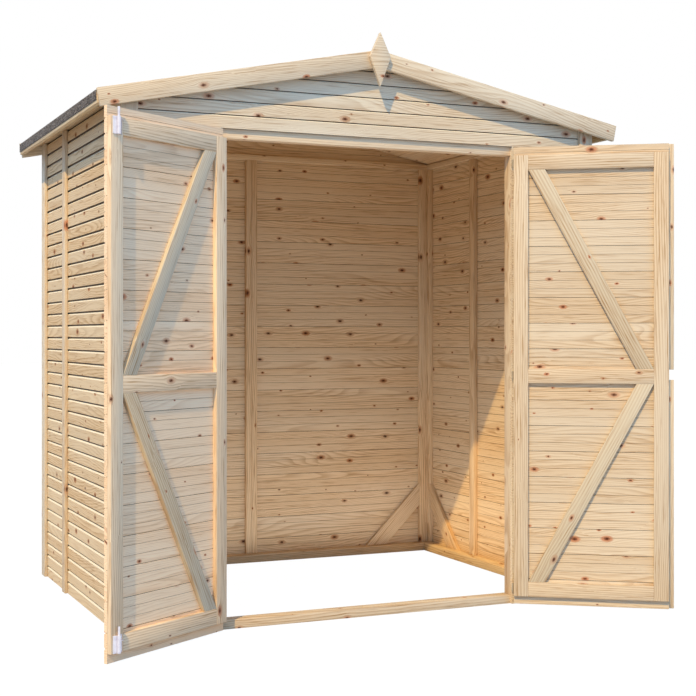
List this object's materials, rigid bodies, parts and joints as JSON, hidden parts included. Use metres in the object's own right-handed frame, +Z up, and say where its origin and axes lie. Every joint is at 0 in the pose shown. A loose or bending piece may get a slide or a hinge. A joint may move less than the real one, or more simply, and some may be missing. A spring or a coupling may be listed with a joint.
{
  "type": "wooden garden shed",
  "caption": "Apex-roofed garden shed of horizontal shiplap boards on light framing, with a felted roof, an open base, and outward-opening double doors with shoot bolts.",
  "frame": {"origin": "on the ground in the middle of the doorway, at the centre of the door sill's underside", "axes": "+X to the right seen from the front, +Y from the doorway to the back wall, +Z up"},
  "size_m": [2.0946, 1.7219, 2.0581],
  "materials": {
    "pine_boarding": "planed pine, untreated, knotty",
    "pine_framing": "sawn and planed pine, untreated",
    "roofing_felt": "dark grey mineral-faced bitumen felt",
    "zinc_plated_steel": "bright zinc plating"
  },
  "bodies": {
    "shell": {"back_barge_boards": "pine_boarding", "back_bottom_plate": "pine_framing", "back_corner_trims": "pine_boarding", "back_finial": "pine_boarding", "back_seam_battens": "pine_framing", "back_wall_boards": "pine_boarding", "back_wall_braces": "pine_framing", "corner_battens": "pine_framing", "door_header": "pine_framing", "door_posts": "pine_framing", "door_sill": "pine_framing", "eave_battens": "pine_boarding", "front_barge_boards": "pine_boarding", "front_corner_trims": "pine_boarding", "front_finial": "pine_boarding", "front_gable_boards": "pine_boarding", "front_side_boards": "pine_boarding", "gable_top_plates": "pine_framing", "hinge_wall_plates": "zinc_plated_steel", "left_roof_boards": "pine_boarding", "left_roof_felt": "roofing_felt", "left_wall_boards": "pine_boarding", "right_roof_boards": "pine_boarding", "right_roof_felt": "roofing_felt", "right_wall_boards": "pine_boarding", "side_bottom_plates": "pine_framing", "side_top_plates": "pine_framing", "side_wall_battens": "pine_framing", "side_wall_braces": "pine_framing", "side_wall_trims": "pine_boarding"},
    "left_door": {"left_door_boards": "pine_boarding", "left_door_bolt_guides": "zinc_plated_steel", "left_door_braces": "pine_framing", "left_door_rails": "pine_framing", "left_door_stiles": "pine_framing", "left_door_straps": "zinc_plated_steel"},
    "right_door": {"right_door_boards": "pine_boarding", "right_door_braces": "pine_framing", "right_door_rails": "pine_framing", "right_door_stiles": "pine_framing", "right_door_straps": "zinc_plated_steel", "meeting_strip": "pine_boarding"},
    "top_bolt": {"top_bolt": "zinc_plated_steel"},
    "bottom_bolt": {"bottom_bolt": "zinc_plated_steel"}
  },
  "joints": [
    {"name": "left_door_hinge", "type": "hinge", "parent": "shell", "child": "left_door", "pos_m": [-0.567, -0.044, 0], "axis": [0, 0, -1], "range_deg": [-147, 23]},
    {"name": "right_door_hinge", "type": "hinge", "parent": "shell", "child": "right_door", "pos_m": [0.567, -0.044, 0], "axis": [0, 0, 1], "range_deg": [-145.2, 24.8]},
    {"name": "top_bolt_slide", "type": "slide", "parent": "left_door", "child": "top_bolt", "axis": [0, 0, 1], "range_m": [-0.03, 0]},
    {"name": "bottom_bolt_slide", "type": "slide", "parent": "left_door", "child": "bottom_bolt", "axis": [0, 0, -1], "range_m": [0, 0.025]}
  ]
}
